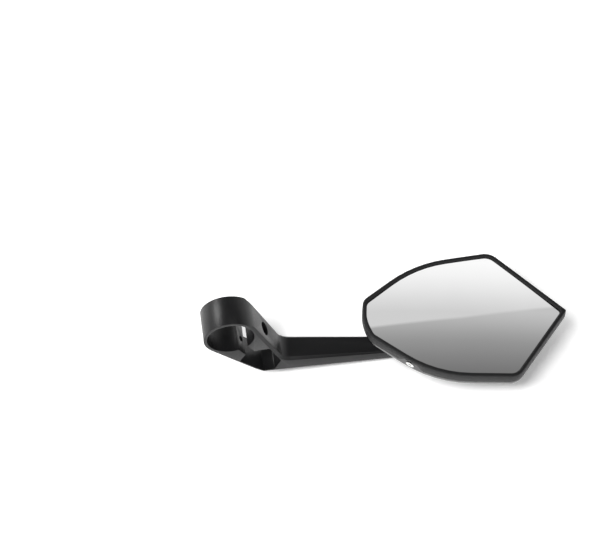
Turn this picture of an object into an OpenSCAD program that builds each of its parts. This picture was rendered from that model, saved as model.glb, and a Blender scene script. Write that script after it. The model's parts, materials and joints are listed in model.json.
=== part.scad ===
// Handlebar mirror: a cast clamp arm that carries a mirror head on a ball joint.
// Origin at the middle of the clamp bore, Y along the handlebar, X towards the head,
// Z towards the side that the glass faces.

/* [Bar clamp] */
// Diameter of the bore that takes the handlebar end
bar_d = 32; // [24:0.5:36]
// Wall of the clamp ring round the bore
clamp_wall = 2.2; // [1.8:0.1:4]
// Length of the clamp ring along the handlebar
clamp_len = 22; // [18:0.5:28]
// Width of the slot between the two jaws
slot_w = 7; // [4:0.5:8]
// Direction of the slot below the X axis, in degrees
slot_angle = 58; // [54:1:62]
// Thread diameter of the clamp bolt
bolt_d = 5; // [4:0.5:6]
// Distance of the bolt axis from the middle of the bore
bolt_reach = 20.5; // [20:0.25:22]
// Depth of the tapped hole in the outer jaw
bolt_tap_depth = 8; // [5:0.5:8.5]
// Diameter of the counterbore that takes the bolt head
bolt_head_d = 9.8; // [8:0.1:11]
// Depth of the counterbore, measured along the bolt
bolt_head_depth = 6; // [4:0.25:7]

/* [Neck and arm] */
// Slope of the neck's outer side below the X axis, in degrees
outer_slope = 44; // [40:1:48]
// Slope of the neck's inner side below the X axis, in degrees
inner_slope = 66; // [62:1:70]
// Depth of the arm's middle line below the bore, where it would meet the Z axis
arm_drop = 40; // [36:0.5:43]
// Slope of the arm below the X axis, in degrees
arm_slope = 7.5; // [5:0.5:9]
// Thickness of the arm where its lines would meet the Z axis
arm_t = 18.9; // [15:0.1:20]
// Thickness of the arm at its free end
arm_end_t = 7.4; // [7:0.1:10]
// Width of the arm at the elbow, along the handlebar direction
elbow_w = 18.8; // [16:0.2:21]
// Width of the arm at its free end, along the handlebar direction
arm_end_w = 9.6; // [9:0.2:14]
// Length of the arm past the ball's middle
arm_overhang = 14; // [11:0.5:22]
// Radius inside the elbow
elbow_r = 10; // [4:0.5:14]
// Bevel along the arm's two back edges
arm_bevel = 2; // [1:0.25:2.5]
// Bevel along the neck's and the arm's two front edges, which runs out towards the free end
front_bevel = 1.9; // [1:0.1:2.2]
// Wall between the window and the neck's outer side
window_outer_wall = 0.8; // [0.6:0.1:2]
// Wall between the window and the neck's inner side
window_wall = 1.9; // [1.6:0.1:3]
// Distance from the bore's middle to the start of the window
window_start = 24; // [23:0.5:27]
// Height of the metal under the window, at the elbow
window_floor = 8; // [6:0.25:10]
// Distance from the bore to the window's far lower corner
window_reach = 29.5; // [27:0.5:31]

/* [Ball joint] */
// Distance from the bore to the ball along the X axis
ball_reach = 130; // [126:1:132]
// Diameter of the ball
ball_d = 14; // [13:0.25:15]
// Height of the ball's centre above the arm
ball_lift = 16; // [15:0.25:18]
// Diameter of the stem under the ball
stem_d = 7; // [6:0.25:7.5]
// Diameter of the collar that seats on the arm
collar_d = 10.6; // [9:0.1:11]
// Height of the collar
collar_h = 3.2; // [2:0.1:3.6]
// Thread diameter of the stud in the arm
stud_d = 6; // [5:0.5:6]
// Length of the stud in the arm
stud_len = 5.5; // [4:0.25:6]
// Thickness of the liner round the ball
liner_t = 1.9; // [1.5:0.1:2.1]
// Gap between the moving faces of the joint
joint_gap = 0.3; // [0.2:0.05:0.4]
// Half of the space between the two liner halves
liner_split = 1.3; // [1.2:0.05:1.6]
// Half angle of the liner's mouth round the stem
liner_mouth = 46; // [45:1:48]
// Wall of the socket round the liner
socket_wall = 3; // [2.5:0.25:4]
// Depth of the socket's nose below the ball's centre
socket_nose = 7; // [6.6:0.1:7.2]
// Width of the flange round the socket
flange_w = 6; // [5.5:0.25:7]
// Thickness of the socket's flange
flange_t = 3; // [2:0.25:4]
// Thickness of the cap over the socket
cap_t = 2.2; // [1.5:0.1:2.6]
// Thread diameter of the cap screws
cap_screw_d = 3; // [2.5:0.25:3]

/* [Mirror head] */
// Turn of the head about the ball, in degrees, as the glass is set
head_tilt = 12; // [6:1:14]
// Distance from the ball to the pointed tip
tip_reach = 96.5; // [90:0.5:105]
// Distance from the ball to the head's rounded end
back_reach = 40.6; // [38:0.5:46]
// Distance from the ball to the head's upper edge
top_reach = 41.5; // [40:0.5:46]
// Distance from the ball to the head's lower edge
low_reach = 48.5; // [46:0.5:53]
// Height of the frame's front face above the ball's centre
front_rise = 25; // [25:0.5:28]
// Depth of the frame's side wall
frame_depth = 11; // [9.5:0.25:11.5]
// Width of the frame's lip beside the glass
lip_w = 3.6; // [3:0.1:5]
// Thickness of the frame's lip
lip_t = 1.6; // [1.2:0.1:2]
// Wall of the frame and the back shell
head_wall = 2; // [1.6:0.1:2.4]
// Depth of the back shell below the ball's centre
shell_drop = 4; // [3.5:0.1:4.5]
// Curvature radius of the glass
glass_r = 1200; // [1000:50:1600]
// Thickness of the glass
glass_t = 2; // [1.5:0.1:2.2]
// Thickness of the adhesive pad behind the glass
pad_t = 1; // [0.8:0.1:1.2]
// Least thickness of the carrier behind the pad
carrier_t = 1.8; // [1.5:0.1:2.2]
// Distance of the carrier's edge from the head's outline
carrier_inset = 9; // [8:0.5:12]
// Diameter of the posts that hold the carrier
post_d = 7; // [6:0.25:9]
// Thread diameter of the screws in the posts
post_screw_d = 3; // [2.5:0.25:3.5]

/* [Frame screw] */
// Place of the frame screw along the lower edge, from the ball
frame_screw_x = -12; // [-16:0.5:-8]
// Depth of the frame screw behind the frame's front face
frame_screw_depth = 8; // [7.5:0.25:8.5]
// Diameter of the frame screw's head
frame_screw_head_d = 6; // [5:0.25:6.5]
// Thread diameter of the frame screw
frame_screw_d = 3; // [2.5:0.25:3.5]
// Width of the shell's tab at its root
tab_root_w = 20; // [16:0.5:24]
// Width of the shell's tab at its top
tab_top_w = 10; // [8:0.5:12]

/* [Hidden] */
$fn = 64;
cast_black = "#1d1d1f";
gloss_black = "#0c0c0e";
far = 400;
ring_r = bar_d / 2 + clamp_wall;
arm_reach = ball_reach + arm_overhang;
// The neck leaves the ring along two tangents, and the arm's sides cross them at the elbow
outer_touch = -90 - outer_slope;
inner_touch = 90 - inner_slope;
arm_top_0 = -arm_drop + arm_t / 2;
arm_low_0 = -arm_drop - arm_t / 2;
arm_dir = [cos(arm_slope), -sin(arm_slope)];
elbow_out_r = 6;
elbow_out = meet(ring_r * ray(outer_touch), ray(-outer_slope), [0, arm_low_0], arm_dir);
elbow_in = meet(ring_r * ray(inner_touch), ray(-inner_slope), [0, arm_top_0], arm_dir);
end_top = [arm_reach, arm_top_0 - arm_reach * tan(arm_slope)];
end_low = [arm_reach, end_top.y - arm_end_t];
tip_bevel = 2;
window_r = 2;
window_root_angle = 65;
// Bevel that is left at the free end
front_bevel_end = 0.4;
neck_foot = ring_r * ray(inner_touch);
// The bolt crosses the slot at a right angle
bolt_angle = 90 - slot_angle;
bolt_foot = bolt_reach * ray(-slot_angle);
slot_dir = ray(-slot_angle);
// The ball stands on the arm's glass side
ball_z = arm_top_0 - ball_reach * tan(arm_slope) + ball_lift;
// The collar sits in a flat spot face, as deep as the arm's slope needs
collar_low = -ball_lift - collar_d / 2 * tan(arm_slope);
spot_gap = 0.2;
ball_r = ball_d / 2;
liner_in_r = ball_r + joint_gap;
liner_out_r = liner_in_r + liner_t;
socket_in_r = liner_out_r + joint_gap;
socket_out_r = socket_in_r + socket_wall;
flange_r = socket_out_r + flange_w;
cap_screw_ring = socket_out_r + flange_w / 2;
cap_base = flange_t;
cap_top = socket_in_r + cap_t;
cap_screw_grip = 1.6;
post_screw_grip = 8;
collar_round = 1.6;
// Share of the front liner's radius where its crown is cut flat
liner_crown = 0.86;
// The socket's mouth opens wider than the liner's by this angle
mouth_step = 2;
// Screw heads and their sockets, as shares of the thread
tap_share = 0.84;
head_share = 1.8;
hex_share = 0.8;
frame_screw_sink = 1;
frame_screw_len = 5.5;
frame_screw_head_h = 1.4;
post_rim = 2;
tab_rim = 0.8;
// Heights in the head, above the ball's centre
part_line = front_rise - frame_depth;
lip_back = front_rise - lip_t;
glass_edge = head_wall + 0.3;
pad_step = 2.5;
lip_flare = 0.5;
frame_round = 1.1;
head_mid = [(tip_reach - back_reach) / 2, (top_reach - low_reach) / 2];
post_places = [[-20, 12], [22, 24], [38, -24], [66, -6]];
// Side steps of the shell: share of the outline, and share of the depth under the parting line
shell_steps = [[1, 0], [0.998, 0.14], [0.98, 0.33], [0.94, 0.56], [0.87, 0.75], [0.8, 0.88],
               [0.72, 0.93], [0.55, 0.97], [0.3, 1]];

function ray(a) = [cos(a), sin(a)];
function unit(v) = v / norm(v);
function cross2(a, b) = a.x * b.y - a.y * b.x;
// Where the line through p along u crosses the line through q along v
function meet(p, u, q, v) = p + u * cross2(q - p, v) / cross2(u, v);
// Arc that rounds the corner b between a and c, limited by the shorter side
function corner_arc(a, b, c, r, n) =
    let (u = unit(a - b), v = unit(c - b), half = acos(u * v) / 2)
    let (fit = min(r, 0.48 * min(norm(a - b), norm(c - b)) * tan(half)))
    let (o = b + unit(u + v) * fit / sin(half))
    let (p = b + u * fit / tan(half) - o, q = b + v * fit / tan(half) - o)
    let (start = atan2(p.y, p.x), sweep = (atan2(q.y, q.x) - start + 540) % 360 - 180)
    [for (i = [0:n]) o + fit * ray(start + sweep * i / n)];
function arc(r, from, to, n) = [for (i = [0:n]) r * ray(from + (to - from) * i / n)];

// Outline of the head: corners as shares of the four reaches, with the rounding of each
function head_at(fx, fy) = [fx * (fx < 0 ? back_reach : tip_reach), fy * (fy < 0 ? low_reach : top_reach)];
head_corners = [head_at(1, -0.1), head_at(0.523, 1), head_at(-0.025, 0.943), head_at(-0.951, 0.405),
                head_at(-1, 0.069), head_at(-0.9, -0.19), head_at(0.03, -0.86), head_at(0.608, -1)];
head_rounding = [1.2, 12, 150, 7, 40, 9, 146, 10];
top_curve = 2;
low_curve = 6;
corner_count = len(head_corners);
// Corner i of the outline, moved inwards by d
function inner_corner(i, d) =
    let (a = head_corners[(i + corner_count - 1) % corner_count], b = head_corners[i])
    let (c = head_corners[(i + 1) % corner_count], e = unit(b - a), f = unit(c - b))
    let (m = [-e.y, e.x], n = [-f.y, f.x])
    b + d * (m + n) / (1 + m * n);
function head_outline(d) = [for (i = [0:corner_count - 1])
    each corner_arc(inner_corner((i + corner_count - 1) % corner_count, d), inner_corner(i, d),
                    inner_corner((i + 1) % corner_count, d), max(head_rounding[i] - d, 0.6), 6)];
// Centre and radius of the rounding at corner i
function curve_points(i) =
    corner_arc(head_corners[i - 1], head_corners[i], head_corners[i + 1], head_rounding[i], 2);
function curve_centre(i) = let (p = curve_points(i)) circle_centre(p[0], p[1], p[2]);
function curve_radius(i) = norm(curve_points(i)[0] - curve_centre(i));
function curve_gap(i) = curve_radius(i) - norm(head_mid - curve_centre(i));
// The screw's place and direction on the long curve of the lower edge
low_centre = curve_centre(low_curve);
low_radius = curve_radius(low_curve);
// The glass bulges by the curvature, and its nearest edge just meets the lip
glass_near = min(curve_gap(top_curve), curve_gap(low_curve)) - lip_w - lip_flare;
glass_top = lip_back + glass_near * glass_near / (2 * glass_r) - 0.02;
glass_far = tip_reach - head_mid.x - carrier_inset;
carrier_low = glass_top - glass_t - pad_t - carrier_t - glass_far * glass_far / (2 * glass_r);
head_recess = 1.2;
tongue_h = 1.8;
tongue_gap = 0.2;
screw_rise = sqrt(pow(low_radius, 2) - pow(frame_screw_x - low_centre.x, 2));
screw_foot = [frame_screw_x, low_centre.y - screw_rise];
screw_out = unit(screw_foot - low_centre);
screw_turn = atan2(screw_out.y, screw_out.x);
screw_z = front_rise - frame_screw_depth;
// Centre of the circle through three points
function circle_centre(a, b, c) =
    let (m = (a + b) / 2, n = (b + c) / 2, u = b - a, v = c - b)
    meet(m, [-u.y, u.x], n, [-v.y, v.x]);

// Closed skin through rings of equal point counts, lowest ring first
module loft(rings) {
    n = len(rings[0]);
    last = len(rings) - 1;
    points = [for (ring = rings) each ring];
    sides = [for (k = [0:last - 1]) for (i = [0:n - 1])
        each [[k * n + i, (k + 1) * n + (i + 1) % n, k * n + (i + 1) % n],
              [k * n + i, (k + 1) * n + i, (k + 1) * n + (i + 1) % n]]];
    floor_face = [for (i = [0:n - 1]) i];
    roof_face = [for (i = [n - 1:-1:0]) last * n + i];
    polyhedron(points = points, faces = concat([floor_face], sides, [roof_face]), convexity = 6);
}
function ring_at(d, z) = [for (p = head_outline(d)) [p.x, p.y, z]];
function scaled_ring(d, share, z) = [for (p = head_outline(d)) let (q = head_mid + (p - head_mid) * share)
    [q.x, q.y, z]];

// Puts a piece of the head on the ball, turned as the glass is set
module on_ball() {
    translate([ball_reach, 0, ball_z]) rotate([head_tilt, 0, 0]) children();
}
// Extrudes a side view, drawn in X and Z, over a width along Y
module along_bar(width) {
    rotate([90, 0, 0]) linear_extrude(height = width, center = true) children();
}
// Turns Z to the bolt's direction and starts at its foot on the slot's middle
module along_bolt() {
    translate([bolt_foot.x, 0, bolt_foot.y]) rotate([0, 90 - bolt_angle, 0]) children();
}
module straight_screw(d, length, head_d, head_h, socket_d) {
    difference() {
        union() {
            translate([0, 0, -length]) cylinder(d = d, h = length);
            cylinder(d = head_d, h = head_h);
        }
        translate([0, 0, head_h * 0.4]) cylinder(d = socket_d, h = head_h, $fn = 6);
    }
}

module arm_side_view() {
    polygon(concat(
        arc(ring_r, inner_touch, 360 + outer_touch, 40),
        corner_arc(ring_r * ray(outer_touch), elbow_out, end_low, elbow_out_r, 6),
        [end_low, end_top],
        elbow_curve()));
}
// Round inside the elbow, from the arm to the neck
function elbow_curve() = corner_arc(end_top, elbow_in, neck_foot, elbow_r, 10);
// Half the width of the neck and the arm at a distance x from the bore
function half_width(x) = lookup(x, [[neck_foot.x, clamp_len / 2], [elbow_curve()[0].x, elbow_w / 2],
    [arm_reach, arm_end_w / 2]]);
// Window between the jaws and the arm's root, with a wall left along each side of the neck
module window_view() {
    out_n = ray(outer_touch);
    in_n = ray(inner_touch);
    out_p = out_n * (ring_r - window_outer_wall);
    in_p = in_n * (ring_r - window_wall);
    floor_p = elbow_out + [0, window_floor];
    start_p = window_start * slot_dir;
    jaw_low = ray(-slot_angle - 60);
    jaw_up = ray(0);
    side = slot_w / 2 * [-slot_dir.y, slot_dir.x];
    a = start_p - side;
    b = meet(a, jaw_low, out_p, ray(-outer_slope));
    c = meet(out_p, ray(-outer_slope), floor_p, [1, 0]);
    d = [window_reach, floor_p.y];
    e = meet(d, ray(window_root_angle), in_p, ray(-inner_slope));
    g = start_p + side;
    f = meet(g, jaw_up, in_p, ray(-inner_slope));
    polygon(concat([a], corner_arc(a, b, c, window_r / 2, 3), corner_arc(b, c, d, window_r / 2, 3),
                   corner_arc(c, d, e, window_r / 2, 3), corner_arc(d, e, f, window_r / 2, 3),
                   corner_arc(e, f, g, window_r, 4), [g]));
}
module arm_top_view() {
    near = arm_reach - tip_bevel;
    side = [[neck_foot.x, clamp_len / 2], [elbow_curve()[0].x, elbow_w / 2], [near, half_width(near)],
            [arm_reach, half_width(arm_reach) - tip_bevel]];
    polygon(concat([[-ring_r - 1, -clamp_len / 2]], [for (p = side) [p.x, -p.y]],
                   [for (i = [len(side) - 1:-1:0]) side[i]], [[-ring_r - 1, clamp_len / 2]]));
}
// Square bar along an edge of the arm, on its corners, which cuts a bevel; side is -1 or 1
module edge_cut(path, sizes, side) {
    last = len(path) - 1;
    loft([for (i = [0:last]) let (p = path[i], c = sizes[i])
        let (d = unit(path[min(i + 1, last)] - path[max(i - 1, 0)]), y = side * half_width(p.x))
        [[p.x, y + c, p.y], [p.x - c * d.y, y, p.y + c * d.x], [p.x, y - c, p.y],
         [p.x + c * d.y, y, p.y - c * d.x]]]);
}
module front_edge_cut(side) {
    curve = elbow_curve();
    path = concat([neck_foot - 5 * front_bevel * ray(-inner_slope), neck_foot],
                  [for (i = [len(curve) - 1:-1:0]) curve[i]], [end_top, end_top + 2 * arm_dir]);
    sizes = [for (p = path) lookup(p.x, [[elbow_in.x, front_bevel], [arm_reach, front_bevel_end]])];
    edge_cut(path, sizes, side);
}
module back_edge_cut(side) {
    d = unit(end_low - elbow_out);
    path = [elbow_out - 2 * arm_bevel * d, elbow_out, meet(elbow_out, d, elbow_curve()[0], [0, 1]), end_low,
            end_low + 2 * arm_bevel * d];
    edge_cut(path, [for (p = path) arm_bevel], side);
}
module arm() {
    color(cast_black) difference() {
        intersection() {
            along_bar(clamp_len + 2) arm_side_view();
            translate([0, 0, -far / 2]) linear_extrude(height = far) arm_top_view();
        }
        along_bar(clamp_len + 4) window_view();
        rotate([90, 0, 0]) cylinder(d = bar_d, h = clamp_len + 2, center = true, $fn = 96);
        rotate([0, slot_angle, 0]) translate([bar_d / 4, -clamp_len, -slot_w / 2])
            cube([window_start - bar_d / 4 + 0.5, 2 * clamp_len, slot_w]);
        along_bolt() cylinder(d = bolt_d + 0.5, h = bolt_seat() + 1);
        along_bolt() translate([0, 0, -slot_w / 2 - bolt_tap_depth])
            cylinder(d = bolt_d * tap_share, h = bolt_reach);
        along_bolt() translate([0, 0, bolt_seat()]) cylinder(d = bolt_head_d, h = 3 * bolt_head_depth);
        for (side = [-1, 1]) {
            front_edge_cut(side);
            back_edge_cut(side);
        }
        translate([ball_reach, 0, ball_z + collar_low]) cylinder(r = collar_d / 2 + spot_gap, h = ball_lift);
        translate([ball_reach, 0, ball_z + collar_low - stud_len]) cylinder(d = stud_d, h = ball_lift);
    }
}
// Seat of the bolt head, along the bolt from the slot's middle
function bolt_seat() =
    let (flat = meet(bolt_foot, ray(bolt_angle), ring_r * ray(inner_touch), ray(-inner_slope)))
    norm(flat - bolt_foot) - bolt_head_depth;

// Stud, collar, waisted stem and ball, turned from one bar
module ball_stud() {
    low = collar_low;
    high = -ball_lift + collar_h;
    neck = -ball_r * 0.7;
    color("#2a2a2c") translate([ball_reach, 0, ball_z]) {
        rotate_extrude() polygon(concat(
            [[0, low - stud_len], [stud_d / 2, low - stud_len], [stud_d / 2, low], [collar_d / 2, low]],
            corner_arc([collar_d / 2, low], [collar_d / 2, high], [0, high], collar_round, 5),
            [[stem_d / 2, high], [stem_d / 2, neck], [0, neck]]));
        sphere(d = ball_d);
    }
}
module ball_ring(low, high) {
    difference() {
        intersection() {
            sphere(r = liner_out_r);
            translate([0, 0, low]) cylinder(r = 2 * liner_out_r, h = high - low);
        }
        sphere(r = liner_in_r);
    }
}
// Cone that opens downwards from the ball's centre, to clear the leaning stem
module mouth_cone(half_angle) {
    depth = 2 * socket_nose;
    translate([0, 0, -depth]) cylinder(r1 = depth * tan(half_angle), r2 = 0, h = depth);
}
module liner_rear() {
    color("#d8d6cf") on_ball() difference() {
        ball_ring(-liner_out_r, -liner_split);
        mouth_cone(liner_mouth);
    }
}
module liner_front() {
    color("#d8d6cf") on_ball() ball_ring(liner_split, liner_out_r * liner_crown);
}
module cap_screw_places() {
    for (a = [90:120:330]) rotate([0, 0, a]) translate([cap_screw_ring, 0, 0]) children();
}
module socket() {
    color("#3a3b3d") on_ball() difference() {
        union() {
            translate([0, 0, -socket_nose]) cylinder(r = socket_out_r, h = socket_nose + flange_t);
            cylinder(r = flange_r, h = flange_t);
        }
        sphere(r = socket_in_r);
        cylinder(r = socket_in_r, h = 2 * flange_t);
        mouth_cone(liner_mouth + mouth_step);
        cap_screw_places() cylinder(d = cap_screw_d, h = far, center = true);
    }
}
module socket_cap() {
    color("#4a4b4e") on_ball() difference() {
        union() {
            translate([0, 0, cap_base]) cylinder(r = flange_r, h = flange_t);
            translate([0, 0, cap_base]) cylinder(r = socket_out_r, h = cap_top - cap_base);
        }
        sphere(r = socket_in_r);
        cap_screw_places() cylinder(d = cap_screw_d, h = far, center = true);
    }
}
module cap_screws() {
    color("silver") on_ball() cap_screw_places() translate([0, 0, cap_base + flange_t])
        straight_screw(cap_screw_d, 2 * flange_t + cap_screw_grip, cap_screw_d * head_share,
                       cap_screw_d * hex_share, cap_screw_d * hex_share);
}

// Rings of the shell's skin, moved inwards by d and lifted by rise
function shell_rings(d, rise) =
    let (depth = part_line + shell_drop)
    [for (k = [len(shell_steps) - 1:-1:0])
        scaled_ring(d, shell_steps[k][0], part_line - depth * shell_steps[k][1] + rise * shell_steps[k][1])];
module tab_view(grow) {
    top = screw_z + frame_screw_head_d / 2 + tab_rim + grow - part_line;
    polygon([[-tab_root_w / 2 - grow, -2], [tab_root_w / 2 + grow, -2], [tab_root_w / 2 + grow, 0],
             [tab_top_w / 2 + grow, top], [-tab_top_w / 2 - grow, top], [-tab_root_w / 2 - grow, 0]]);
}
// Block in the shape of the shell's tab, from depth near to depth deep behind the outline
module tab_block(grow, near, deep) {
    translate([screw_foot.x, screw_foot.y, part_line]) rotate([0, 0, screw_turn + 90])
        translate([0, deep, 0]) rotate([90, 0, 0]) linear_extrude(height = deep - near) tab_view(grow);
}
module frame_skin(d, low, high) {
    loft([ring_at(d, low), ring_at(d, high)]);
}
module along_frame_screw() {
    translate([screw_foot.x, screw_foot.y, screw_z]) rotate([0, 0, screw_turn]) rotate([0, 90, 0]) children();
}
module back_shell() {
    inner_steps = concat(shell_rings(head_wall, head_wall * 1.1), [ring_at(head_wall, part_line + 0.1)]);
    color(gloss_black) on_ball() difference() {
        union() {
            difference() {
                loft(shell_rings(0, 0));
                loft(inner_steps);
            }
            // Flat ring that the socket's flange seats on, and the posts for the carrier
            intersection() {
                loft(concat(shell_rings(0, 0), [ring_at(0, front_rise)]));
                union() {
                    translate([0, 0, -shell_drop]) cylinder(r = flange_r + 1, h = shell_drop);
                    for (p = post_places) translate([p.x, p.y, -shell_drop])
                        cylinder(d = post_d, h = carrier_low + shell_drop);
                }
            }
            // Tongue inside the frame's wall
            difference() {
                union() {
                    frame_skin(head_wall + tongue_gap, part_line - 1, part_line + tongue_h);
                    frame_skin(head_wall / 2, part_line - tongue_h, part_line);
                }
                frame_skin(head_wall * 2, part_line - 2 * tongue_h, part_line + 2 * tongue_h);
            }
            intersection() {
                frame_skin(0, part_line - 2, front_rise);
                tab_block(0, -3, head_wall);
            }
        }
        cylinder(r = socket_out_r + 0.1, h = far, center = true);
        cap_screw_places() translate([0, 0, -cap_screw_grip])
            cylinder(d = cap_screw_d, h = 2 * cap_screw_grip);
        for (p = post_places) translate([p.x, p.y, carrier_low - post_screw_grip])
            cylinder(d = post_screw_d, h = 2 * post_screw_grip);
        along_frame_screw() cylinder(d = frame_screw_d, h = 4 * frame_screw_len, center = true);
        along_frame_screw() translate([0, 0, -frame_screw_sink])
            cylinder(d = frame_screw_head_d + 0.2, h = frame_screw_len);
        // Space for the frame's boss inside the tongue
        tab_block(0.3, head_wall, head_wall * 3);
    }
}
module front_frame() {
    color(cast_black) on_ball() difference() {
        union() {
            difference() {
                loft([ring_at(0, part_line), ring_at(0, front_rise - frame_round),
                      ring_at(0.3 * frame_round, front_rise - 0.3 * frame_round),
                      ring_at(frame_round, front_rise)]);
                loft([ring_at(head_wall, part_line - 1), ring_at(head_wall, lip_back)]);
                loft([ring_at(lip_w + lip_flare, lip_back - 1), ring_at(lip_w + lip_flare, lip_back + 0.3),
                      ring_at(lip_w - lip_flare, front_rise + 0.01)]);
                tab_block(0.15, -2 * head_wall, head_wall);
            }
            // Boss for the frame screw, behind the shell's tab
            intersection() {
                frame_skin(head_wall, part_line, front_rise);
                tab_block(-0.2, head_wall, head_wall + frame_screw_len);
                translate([0, 0, part_line]) cylinder(r = far, h = screw_z + frame_screw_d - part_line);
            }
        }
        along_frame_screw() cylinder(d = frame_screw_d, h = 4 * frame_screw_len, center = true);
    }
}
module frame_screw() {
    color("silver") on_ball() along_frame_screw() translate([0, 0, -frame_screw_sink])
        straight_screw(frame_screw_d, frame_screw_len, frame_screw_head_d, frame_screw_head_h,
                       frame_screw_d * hex_share);
}

// Ball that the glass's front is part of, made smaller by deep
module glass_ball(deep) {
    translate([head_mid.x, head_mid.y, glass_top - glass_r]) sphere(r = glass_r - deep, $fn = 720);
}
// Layer of the glass's curvature, from deep behind its front, cut to the head's outline
module curved_plate(d, deep, thickness) {
    intersection() {
        translate([0, 0, -front_rise]) linear_extrude(height = 3 * front_rise) polygon(head_outline(d));
        difference() {
            glass_ball(deep);
            glass_ball(deep + thickness);
        }
    }
}
module mirror_glass() {
    color("#c9cdd0") on_ball() curved_plate(glass_edge, 0, glass_t);
}
module glass_pad() {
    color("#333333") on_ball() curved_plate(glass_edge + pad_step, glass_t, pad_t);
}
module carrier() {
    color("#26272a") on_ball() difference() {
        union() {
            curved_plate(carrier_inset, glass_t + pad_t, carrier_t);
            // Pads under the plate, flat where the shell's posts end
            intersection() {
                for (p = post_places) translate([p.x, p.y, carrier_low])
                    cylinder(d = post_d + post_rim, h = front_rise);
                glass_ball(glass_t + pad_t + carrier_t / 2);
            }
        }
        for (p = post_places) translate([p.x, p.y, carrier_low]) {
            translate([0, 0, -1]) cylinder(d = post_screw_d, h = front_rise);
            translate([0, 0, carrier_t - head_recess])
                cylinder(d = post_screw_d * head_share + 0.6, h = front_rise);
        }
    }
}
module carrier_screws() {
    color("silver") on_ball() for (p = post_places)
        translate([p.x, p.y, carrier_low + carrier_t - head_recess])
            straight_screw(post_screw_d, post_screw_grip, post_screw_d * head_share, head_recess,
                           post_screw_d * hex_share);
}

arm();
ball_stud();
liner_rear();
liner_front();
socket();
socket_cap();
cap_screws();
back_shell();
front_frame();
frame_screw();
carrier();
carrier_screws();
glass_pad();
mirror_glass();
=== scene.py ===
import json
import math
import bpy
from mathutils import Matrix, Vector

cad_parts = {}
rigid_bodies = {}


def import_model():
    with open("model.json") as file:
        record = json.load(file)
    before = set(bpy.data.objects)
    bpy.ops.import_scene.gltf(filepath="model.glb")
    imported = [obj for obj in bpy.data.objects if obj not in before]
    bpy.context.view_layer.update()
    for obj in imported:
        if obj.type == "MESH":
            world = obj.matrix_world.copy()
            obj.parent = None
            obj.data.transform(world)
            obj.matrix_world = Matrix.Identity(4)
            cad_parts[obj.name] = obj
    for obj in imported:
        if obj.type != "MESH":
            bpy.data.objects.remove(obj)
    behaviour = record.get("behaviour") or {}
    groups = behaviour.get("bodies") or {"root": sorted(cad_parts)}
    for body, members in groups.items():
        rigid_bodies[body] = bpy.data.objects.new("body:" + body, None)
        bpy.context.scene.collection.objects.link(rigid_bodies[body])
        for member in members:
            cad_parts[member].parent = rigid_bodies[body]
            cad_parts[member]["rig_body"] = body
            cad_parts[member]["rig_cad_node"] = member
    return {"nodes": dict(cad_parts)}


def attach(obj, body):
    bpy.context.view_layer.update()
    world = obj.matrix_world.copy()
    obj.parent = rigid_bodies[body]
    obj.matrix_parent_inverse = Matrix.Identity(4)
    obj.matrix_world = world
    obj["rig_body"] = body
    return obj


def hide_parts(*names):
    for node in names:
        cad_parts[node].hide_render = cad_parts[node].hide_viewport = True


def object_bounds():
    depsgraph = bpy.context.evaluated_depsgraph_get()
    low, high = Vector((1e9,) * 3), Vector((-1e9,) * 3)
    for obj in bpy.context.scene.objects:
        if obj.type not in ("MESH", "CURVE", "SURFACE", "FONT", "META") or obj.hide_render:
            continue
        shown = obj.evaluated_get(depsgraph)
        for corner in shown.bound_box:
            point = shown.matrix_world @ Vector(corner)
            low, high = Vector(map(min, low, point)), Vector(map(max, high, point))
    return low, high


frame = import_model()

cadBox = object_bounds()  # the CAD box; the floor is laid just under it
nodes = frame["nodes"]
print("frame loaded:", len(nodes), "nodes")

perMetre = 1000  # millimetres
lowColour, highColour, mixedColour = 6, 7, 2  # a mix node's colour sockets: two inputs and the output


# sRGB hex to linear colour
def colour(hexCode):
    values = []
    for i in (1, 3, 5):
        c = int(hexCode[i:i + 2], 16) / 255
        values.append(c / 12.92 if c <= 0.04045 else ((c + 0.055) / 1.055) ** 2.4)
    return (*values, 1.0)


# adds one node: settings are attributes or input sockets, links are input: output socket
def addNode(tree, kind, settings=None, links=None):
    node = tree.nodes.new(kind)
    for key, value in (settings or {}).items():
        if isinstance(key, str) and hasattr(node, key):
            setattr(node, key, value)
        else:
            node.inputs[key].default_value = value
    for key, source in (links or {}).items():
        tree.links.new(source, node.inputs[key])
    return node


def newMaterial(name):
    material = bpy.data.materials.new(name)
    material.use_nodes = True
    material.node_tree.nodes.clear()
    return material, material.node_tree


# a long lens, turned and raised as the camera of the photo is
view = {"azimuth": 6.8, "elevation": 57.6, "lens": 300, "sensor": 36, "clipEnd": 50,
        "frameWidth": 0.4, "aimRight": 0.0474, "aimUp": 0.0299}


def makeCamera():
    a, e = math.radians(view["azimuth"]), math.radians(view["elevation"])
    right = Vector((math.cos(a), -math.sin(a), 0))
    ahead = Vector((math.sin(a), math.cos(a), 0))
    upImage = ahead * math.sin(e) + Vector((0, 0, math.cos(e)))
    forward = ahead * math.cos(e) - Vector((0, 0, math.sin(e)))
    distance = view["frameWidth"] / 2 / (view["sensor"] / 2 / view["lens"])
    bpy.ops.object.camera_add()
    cam = bpy.context.object
    cam.data.sensor_width = view["sensor"]
    cam.data.lens = view["lens"]
    cam.data.clip_end = view["clipEnd"]
    cam.location = right * view["aimRight"] + upImage * view["aimUp"] - forward * distance
    cam.rotation_euler = forward.to_track_quat("-Z", "Y").to_euler()
    bpy.context.scene.camera = cam


makeCamera()
print("camera made")


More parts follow.
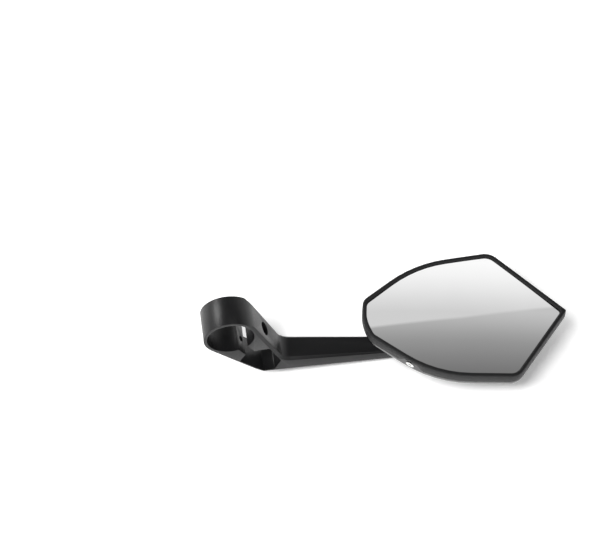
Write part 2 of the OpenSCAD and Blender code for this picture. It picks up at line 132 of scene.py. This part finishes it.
# white paper floor, lifted a little where the camera sees it, so that only real shadow shows on it
# sky is two heights and their tones, shown to the camera and in reflections; worldLight is what lights
stage = {"floorDrop": 0.0004, "floorSize": 8, "floor": "#ffffff", "floorLift": 0.16,
         "worldLight": 0.34, "sky": [(0.3, 0.8), (0.75, 0.035)]}
sun = {"from": (-0.31, -0.42, 1.0), "angle": 15, "strength": 2.0}
lamps = [
    {"name": "rearSoftbox", "place": (-0.78, 0.66, 0.74), "size": 0.42, "power": 5.5},
    {"name": "edgeSoftbox", "place": (-0.76, -0.42, 0.86), "size": 0.3, "power": 4.5},
    {"name": "frontSoftbox", "place": (0.3, -1.1, 0.6), "size": 0.34, "power": 1.6},
]
aimPoint = Vector((0.1, 0, -0.03))  # what the softboxes face


def makeFloor():
    floorHeight = cadBox[0][2] - stage["floorDrop"]
    bpy.ops.mesh.primitive_plane_add(size=stage["floorSize"], location=(0, 0, floorHeight))
    floor = bpy.context.object
    floor.name = "floor"
    material, tree = newMaterial("matte white paper floor")  # pale, no gloss, keeps the shadow
    paper = addNode(tree, "ShaderNodeBsdfDiffuse", {"Color": colour(stage["floor"])})
    path = addNode(tree, "ShaderNodeLightPath")
    seen = addNode(tree, "ShaderNodeMath", {"operation": "MULTIPLY", 1: stage["floorLift"]},
                   {0: path.outputs["Is Camera Ray"]})
    lift = addNode(tree, "ShaderNodeEmission", {"Color": colour(stage["floor"])},
                   {"Strength": seen.outputs[0]})
    both = addNode(tree, "ShaderNodeAddShader", links={0: paper.outputs[0], 1: lift.outputs[0]})
    addNode(tree, "ShaderNodeOutputMaterial", links={"Surface": both.outputs[0]})
    floor.data.materials.append(material)


def makeWorld():
    world = bpy.data.worlds.new("studio")
    bpy.context.scene.world = world
    world.use_nodes = True
    tree = world.node_tree
    tree.nodes.clear()
    place = addNode(tree, "ShaderNodeTexCoord")
    height = addNode(tree, "ShaderNodeSeparateXYZ", links={0: place.outputs["Generated"]})
    sky = addNode(tree, "ShaderNodeValToRGB", links={0: height.outputs["Z"]})
    sky.color_ramp.interpolation = "EASE"
    for stop, (at, tone) in zip(sky.color_ramp.elements, stage["sky"]):
        stop.position = at
        stop.color = (tone, tone, tone, 1)
    seen = addNode(tree, "ShaderNodeBackground", links={"Color": sky.outputs[0]})
    light = addNode(tree, "ShaderNodeBackground", {"Color": (1, 1, 1, 1), "Strength": stage["worldLight"]})
    path = addNode(tree, "ShaderNodeLightPath")
    direct = addNode(tree, "ShaderNodeMath", {"operation": "MAXIMUM"},
                     {0: path.outputs["Is Camera Ray"], 1: path.outputs["Is Glossy Ray"]})
    shown = addNode(tree, "ShaderNodeMath", {"operation": "MAXIMUM"},
                    {0: direct.outputs[0], 1: path.outputs["Is Transmission Ray"]})
    mix = addNode(tree, "ShaderNodeMixShader",
                  links={0: shown.outputs[0], 1: light.outputs[0], 2: seen.outputs[0]})
    addNode(tree, "ShaderNodeOutputWorld", links={"Surface": mix.outputs[0]})


def makeLamps():
    bpy.ops.object.light_add(type="SUN", location=(0, 0, 1))
    main = bpy.context.object
    main.name = "overheadLight"
    main.data.angle = math.radians(sun["angle"])
    main.data.energy = sun["strength"]
    main.rotation_euler = (-Vector(sun["from"])).to_track_quat("-Z", "Y").to_euler()
    main.visible_glossy = False  # the softboxes alone make the highlights
    for lamp in lamps:
        bpy.ops.object.light_add(type="AREA", location=lamp["place"])
        softbox = bpy.context.object
        softbox.name = lamp["name"]
        softbox.data.shape = "SQUARE"
        softbox.data.size = lamp["size"]
        softbox.data.energy = lamp["power"]
        softbox.rotation_euler = (aimPoint - Vector(lamp["place"])).to_track_quat("-Z", "Y").to_euler()


# a graded card overhead, seen only in reflections: it is what the mirror shows
# far and near are places along the view's direction, in metres, and their tones
# they meet at the edge, within the blur, and the edge bends away between two places along X
card = {"height": 1.0, "centre": (0.24, 0.14), "size": (0.7, 0.42), "strength": 1.08,
        "edge": 0.129, "blur": 0.003, "bend": 0.011, "bendFrom": 0.25, "bendTo": 0.45,
        "far": [(0.17, "#d1d1d1"), (0.195, "#dedede"), (0.22, "#ebebeb"), (0.246, "#f6f6f6"),
                (0.275, "#fefefe")],
        "near": [(0.044, "#757575"), (0.077, "#868686"), (0.11, "#979797"), (0.127, "#a3a3a3"),
                 (0.152, "#b6b6b6"), (0.175, "#c4c4c4")]}


def makeCard():
    bpy.ops.mesh.primitive_plane_add(size=1, location=(*card["centre"], card["height"]))
    board = bpy.context.object
    board.name = "gradedCard"
    board.scale = (*card["size"], 1)
    bpy.ops.object.transform_apply(location=True, rotation=True, scale=True)
    material, tree = newMaterial("graded light card")
    place = addNode(tree, "ShaderNodeTexCoord")
    turned = addNode(tree, "ShaderNodeVectorRotate",
                     {"rotation_type": "Z_AXIS", "Angle": math.radians(view["azimuth"])},
                     {"Vector": place.outputs["Object"]})
    along = addNode(tree, "ShaderNodeSeparateXYZ", links={0: turned.outputs[0]})
    plain = addNode(tree, "ShaderNodeSeparateXYZ", links={0: place.outputs["Object"]})
    shades = []
    for stops in (card["far"], card["near"]):
        low, high = stops[0][0], stops[-1][0]
        share = addNode(tree, "ShaderNodeMapRange", {"From Min": low, "From Max": high},
                        {"Value": along.outputs["Y"]})
        ramp = addNode(tree, "ShaderNodeValToRGB", links={0: share.outputs[0]})
        parts = ramp.color_ramp.elements
        parts.remove(parts[-1])  # a new ramp's last stop is white and would stay
        parts[0].color = colour(stops[0][1])
        for at, tone in stops[1:]:
            parts.new((at - low) / (high - low)).color = colour(tone)
        shades.append(ramp.outputs[0])
    far, near = shades
    bend = addNode(tree, "ShaderNodeMapRange",
                   {"From Min": card["bendFrom"], "From Max": card["bendTo"], "To Max": card["bend"]},
                   {"Value": plain.outputs["X"]})
    level = addNode(tree, "ShaderNodeMath", {"operation": "SUBTRACT"},
                    {0: plain.outputs["Y"], 1: bend.outputs[0]})
    step = addNode(tree, "ShaderNodeMapRange",
                   {"From Min": card["edge"] - card["blur"], "From Max": card["edge"] + card["blur"]},
                   {"Value": level.outputs[0]})
    tone = addNode(tree, "ShaderNodeMix", {"data_type": "RGBA"},
                   {"Factor": step.outputs[0], lowColour: near, highColour: far})
    glow = addNode(tree, "ShaderNodeEmission", {"Strength": card["strength"]},
                   {"Color": tone.outputs[mixedColour]})
    addNode(tree, "ShaderNodeOutputMaterial", links={"Surface": glow.outputs[0]})
    board.data.materials.append(material)
    board.visible_camera = False
    board.visible_diffuse = False
    board.visible_shadow = False


makeFloor()
makeWorld()
makeLamps()
makeCard()
bpy.context.scene.view_settings.view_transform = "Standard"
print("stage and lamps made")


# what the finishes share: the detail of the grain and of the cloud in the tone, the part of the grain's
# range that moves the roughness, and the grain's depth as a share of its width
texture = {"grainDetail": 3.0, "grainRoughness": 0.55, "cloudDetail": 2.0,
           "low": 0.3, "high": 0.7, "depth": 0.25}


# one moulded, cast or turned finish: a grain moves its roughness and height, and a cloud its tone
def finishMaterial(name, settings):
    material, tree = newMaterial(name)
    place = addNode(tree, "ShaderNodeTexCoord")
    grain = addNode(tree, "ShaderNodeTexNoise",
                    {"Scale": perMetre / settings["grainMm"], "Detail": texture["grainDetail"],
                     "Roughness": texture["grainRoughness"]}, {"Vector": place.outputs["Object"]})
    cloud = addNode(tree, "ShaderNodeTexNoise",
                    {"Scale": perMetre / settings["cloudMm"], "Detail": texture["cloudDetail"]},
                    {"Vector": place.outputs["Object"]})
    tone = addNode(tree, "ShaderNodeMix",
                   {"data_type": "RGBA", lowColour: colour(settings["dark"]),
                    highColour: colour(settings["light"])}, {"Factor": cloud.outputs[0]})
    rough = addNode(tree, "ShaderNodeMapRange",
                    {"From Min": texture["low"], "From Max": texture["high"],
                     "To Min": settings["smooth"], "To Max": settings["rough"]}, {"Value": grain.outputs[0]})
    depth = settings["grainMm"] * texture["depth"] / perMetre
    bump = addNode(tree, "ShaderNodeBump", {"Strength": settings["bump"], "Distance": depth},
                   {"Height": grain.outputs[0]})
    surface = addNode(tree, "ShaderNodeBsdfPrincipled", {"Metallic": settings.get("metal", 0.0)},
                      {"Base Color": tone.outputs[mixedColour], "Roughness": rough.outputs[0],
                       "Normal": bump.outputs[0]})
    if "ior" in settings:
        surface.inputs["IOR"].default_value = settings["ior"]
    addNode(tree, "ShaderNodeOutputMaterial", links={"Surface": surface.outputs[0]})
    return material


finishes = {
    # satin powder coat on a die cast arm: soft broad highlights, faint orange peel
    "arm": ("satin black powder coat on cast aluminium",
            {"dark": "#0e0e0f", "light": "#151516", "grainMm": 0.9, "cloudMm": 30,
             "smooth": 0.3, "rough": 0.42, "bump": 0.12, "ior": 1.45}),
    # spark textured ABS: an even grey black that never shines
    "frame": ("spark textured black ABS moulding",
              {"dark": "#0e0e0f", "light": "#161617", "grainMm": 0.5, "cloudMm": 25,
               "smooth": 0.5, "rough": 0.66, "bump": 0.3, "ior": 1.42}),
    # polished ABS: near black, sharp reflections with the slight wave of a thin moulding
    "shell": ("polished black ABS moulding",
              {"dark": "#050506", "light": "#08080a", "grainMm": 14, "cloudMm": 40,
               "smooth": 0.08, "rough": 0.14, "bump": 0.03, "ior": 1.4}),
    # blackened steel turned on a lathe: dark metal with a soft sheen
    "stud": ("blackened turned steel",
             {"dark": "#1c1c1e", "light": "#29292b", "grainMm": 0.3, "cloudMm": 6,
              "smooth": 0.28, "rough": 0.42, "bump": 0.08, "metal": 1.0}),
    # anodised casting: dull dark metal
    "socket": ("black anodised cast aluminium",
               {"dark": "#17171a", "light": "#222225", "grainMm": 0.3, "cloudMm": 8,
                "smooth": 0.4, "rough": 0.55, "bump": 0.12, "metal": 1.0}),
    # natural nylon: milky and slightly waxy
    "liner": ("natural moulded nylon",
              {"dark": "#cfcabc", "light": "#ddd9cd", "grainMm": 0.4, "cloudMm": 6,
               "smooth": 0.38, "rough": 0.5, "bump": 0.06, "ior": 1.53}),
    # cold headed stainless: bright with a faint grain
    "screw": ("cold headed stainless steel",
              {"dark": "#e8e8e6", "light": "#f8f8f7", "grainMm": 0.25, "cloudMm": 3,
               "smooth": 0.14, "rough": 0.26, "bump": 0.05, "metal": 1.0}),
    # plain inner moulding: dull and even
    "carrier": ("plain black ABS moulding",
                {"dark": "#161617", "light": "#1e1e20", "grainMm": 0.5, "cloudMm": 20,
                 "smooth": 0.4, "rough": 0.5, "bump": 0.08, "ior": 1.5}),
    # closed cell foam: dull, with small cells
    "pad": ("closed cell adhesive foam",
            {"dark": "#1a1a1a", "light": "#333333", "grainMm": 0.7, "cloudMm": 5,
             "smooth": 0.8, "rough": 0.95, "bump": 0.4, "ior": 1.45}),
}
materials = {key: finishMaterial(*value) for key, value in finishes.items()}

# silvered glass: a clean reflection, uneven by a trace in tone and sharpness
mirror = {"silver": "#f6f6f6", "shade": "#f1f1f1", "smooth": 0.0, "rough": 0.012, "filmMm": 35}


def mirrorMaterial():
    material, tree = newMaterial("silvered convex glass")
    place = addNode(tree, "ShaderNodeTexCoord")
    film = addNode(tree, "ShaderNodeTexNoise",
                   {"Scale": perMetre / mirror["filmMm"], "Detail": texture["cloudDetail"]},
                   {"Vector": place.outputs["Object"]})
    tone = addNode(tree, "ShaderNodeMix",
                   {"data_type": "RGBA", lowColour: colour(mirror["shade"]),
                    highColour: colour(mirror["silver"])}, {"Factor": film.outputs[0]})
    rough = addNode(tree, "ShaderNodeMapRange", {"To Min": mirror["smooth"], "To Max": mirror["rough"]},
                    {"Value": film.outputs[0]})
    surface = addNode(tree, "ShaderNodeBsdfPrincipled", {"Metallic": 1.0},
                      {"Base Color": tone.outputs[mixedColour], "Roughness": rough.outputs[0]})
    addNode(tree, "ShaderNodeOutputMaterial", links={"Surface": surface.outputs[0]})
    return material


materials["mirror"] = mirrorMaterial()
print("materials made:", len(materials))


def selectOnly(piece):
    bpy.ops.object.select_all(action="DESELECT")
    bpy.context.view_layer.objects.active = piece
    piece.select_set(True)


mergeGap = 0.000002  # metres, joins the loose triangles of a CAD mesh


# a merged copy of a CAD node with its flat faces made whole, ready for bevels and smooth shading
def copyNode(node, name, flat):
    selectOnly(nodes[node])
    bpy.ops.object.duplicate()
    piece = bpy.context.object
    piece.parent = None
    piece.name = name
    piece.data.name = name
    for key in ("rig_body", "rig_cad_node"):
        if key in piece:
            del piece[key]
    bpy.ops.object.mode_set(mode="EDIT")
    bpy.ops.mesh.select_all(action="SELECT")
    bpy.ops.mesh.remove_doubles(threshold=mergeGap)
    bpy.ops.mesh.dissolve_limited(angle_limit=math.radians(flat))
    bpy.ops.object.mode_set(mode="OBJECT")
    bpy.ops.mesh.customdata_custom_splitnormals_clear()  # stored normals no longer fit the new faces
    return piece


def applyBevel(piece, settings):
    bevel = piece.modifiers.new("softEdge", "BEVEL")
    bevel.width = settings["edge"]
    bevel.segments = settings["segments"]
    bevel.limit_method = "ANGLE"
    bevel.angle_limit = math.radians(settings["angle"])
    bevel.miter_outer = "MITER_ARC"
    selectOnly(piece)
    bpy.ops.object.modifier_apply(modifier=bevel.name)


def finishPiece(piece, node, body, material, smooth):
    selectOnly(piece)
    bpy.ops.object.shade_smooth_by_angle(angle=math.radians(smooth))
    piece.data.materials.clear()
    piece.data.materials.append(materials[material])
    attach(piece, body)
    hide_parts(node)
    print("piece:", piece.name, len(piece.data.polygons), "faces")


# cast arm: every sharp edge of the casting is softened as paint does
# corner and end are the x and z of the underside's elbow and of its free end
arm = {"flat": 0.5, "edge": 0.0006, "segments": 3, "angle": 28, "smooth": 32,
       "corner": (0.02895, -0.05326), "cornerReach": 0.006, "cornerSlide": (-0.0049, 0.0047),
       "end": (0.144, -0.0569), "lowEdge": 0.0025, "raise": 0.00435}


# the photo shows a slimmer underside: its corner slides up along the neck, and the rest follows it
def slimUnderside(piece):
    cornerX, cornerZ = arm["corner"]
    endX, endZ = arm["end"]
    for v in piece.data.vertices:
        lowZ = cornerZ + (endZ - cornerZ) * (v.co.x - cornerX) / (endX - cornerX)
        if math.hypot(v.co.x - cornerX, v.co.z - cornerZ) < arm["cornerReach"]:
            v.co.x += arm["cornerSlide"][0]
            v.co.z += arm["cornerSlide"][1]
        elif v.co.x > cornerX and v.co.z < lowZ + arm["lowEdge"]:
            v.co.z += arm["raise"] * (endX - v.co.x) / (endX - cornerX)


armPiece = copyNode("arm", "castArm", arm["flat"])
slimUnderside(armPiece)
applyBevel(armPiece, arm)
finishPiece(armPiece, "arm", "arm_body", "arm", arm["smooth"])

# the head's ball, its turn about X, and the middle of its glass, from the ball along X and up the glass
head = {"ball": (0.130, 0.0, -0.031665), "tilt": 12, "middle": (0.02795, -0.0035)}


# along X, up the glass, and out of it
def headDirections():
    tilt = math.radians(head["tilt"])
    upward = Vector((0, math.cos(tilt), math.sin(tilt)))
    outward = Vector((0, -math.sin(tilt), math.cos(tilt)))
    return Vector((1, 0, 0)), upward, outward


# moulded frame: the faces of the lip's inner wall lie above lipLow and stand upright on the glass
rim = {"flat": 0.5, "edge": 0.0002, "segments": 2, "angle": 40, "smooth": 35,
       "lipLow": 0.0232, "lipBack": 0.0013, "upright": 0.7}


# the photo's lip is narrow: its inner wall is drawn back towards the outline by one distance all round
def narrowLip(piece):
    side, upward, outward = headDirections()
    ball = Vector(head["ball"])
    middle = ball + side * head["middle"][0] + upward * head["middle"][1]
    points = piece.data.vertices
    walls = {}
    for face in piece.data.polygons:
        inwards = middle - face.center
        inwards -= outward * inwards.dot(outward)
        high = all((points[i].co - ball).dot(outward) > rim["lipLow"] for i in face.vertices)
        upright = abs(face.normal.dot(outward)) < rim["upright"]
        if high and upright and face.normal.dot(inwards) > 0:
            for i in face.vertices:
                walls.setdefault(i, []).append(face.normal - outward * face.normal.dot(outward))
    for i, normals in walls.items():
        mean = sum((n.normalized() for n in normals), Vector()) / len(normals)
        points[i].co -= mean * (rim["lipBack"] / mean.length_squared)
    print("lip points moved:", len(walls))


rimPiece = copyNode("front_frame", "mouldedFrame", rim["flat"])
narrowLip(rimPiece)
applyBevel(rimPiece, rim)
finishPiece(rimPiece, "front_frame", "head", "frame", rim["smooth"])

# polished back shell
shell = {"flat": 0.2, "smooth": 30}
shellPiece = copyNode("back_shell", "polishedShell", shell["flat"])
finishPiece(shellPiece, "back_shell", "head", "shell", shell["smooth"])

# convex glass: its faces become one sheet each, cut to a fine grid and laid on two spheres with one
# centre, so the reflection runs without a step
glass = {"flat": 6, "smooth": 30, "radius": 1.2, "thickness": 0.002, "cell": 0.002, "reach": 0.1,
         "facing": 0.5}


# the points of the faces that look outwards, and of those that look back
def sheets(mesh, outward):
    front, back = set(), set()
    for face in mesh.polygons:
        facing = face.normal.dot(outward)
        if facing > glass["facing"]:
            front.update(face.vertices)
        elif facing < -glass["facing"]:
            back.update(face.vertices)
    return front, back


def relayGlass(piece):
    side, upward, outward = headDirections()
    ball = Vector(head["ball"])
    middleX, middleY = head["middle"]
    radii = (glass["radius"], glass["radius"] - glass["thickness"])
    mesh = piece.data
    # the highest centre that any point asks for
    heights = []
    for v in mesh.vertices:
        local = v.co - ball
        dx, dy = local.dot(side) - middleX, local.dot(upward) - middleY
        heights.append(local.dot(outward) - math.sqrt(glass["radius"] ** 2 - dx * dx - dy * dy))
    centre = ball + side * middleX + upward * middleY + outward * max(heights)
    # each sheet is laid flat first, so that the cuts find one face
    for group, radius in zip(sheets(mesh, outward), radii):
        for i in group:
            offset = mesh.vertices[i].co - centre
            mesh.vertices[i].co += outward * (radius - offset.dot(outward))
    selectOnly(piece)
    bpy.ops.object.mode_set(mode="EDIT")
    count = round(glass["reach"] / glass["cell"])
    for way in (side, upward):
        for i in range(-count, count + 1):
            bpy.ops.mesh.select_all(action="SELECT")
            bpy.ops.mesh.bisect(plane_co=ball + side * middleX + way * (i * glass["cell"]), plane_no=way)
    bpy.ops.object.mode_set(mode="OBJECT")
    # then each sheet goes onto its own sphere
    front, back = sheets(mesh, outward)
    for group, radius in zip((front, back), radii):
        for i in group:
            offset = mesh.vertices[i].co - centre
            across = offset - outward * offset.dot(outward)
            mesh.vertices[i].co = centre + across + outward * math.sqrt(radius ** 2 - across.length_squared)
    print("glass grid:", len(front), len(back), "centre", [round(c, 5) for c in centre])


glassPiece = copyNode("mirror_glass", "convexGlass", glass["flat"])
relayGlass(glassPiece)
finishPiece(glassPiece, "mirror_glass", "head", "mirror", glass["smooth"])

# the other CAD nodes keep their meshes
nodeFinish = {"ball_stud": "stud", "socket": "socket", "socket_cap": "socket", "cap_screws": "screw",
              "frame_screw": "screw", "carrier": "carrier", "carrier_screws": "screw", "glass_pad": "pad",
              "liner_rear": "liner", "liner_front": "liner"}
for node, finish in nodeFinish.items():
    nodes[node].data.materials.clear()
    nodes[node].data.materials.append(materials[finish])
print("pieces made")
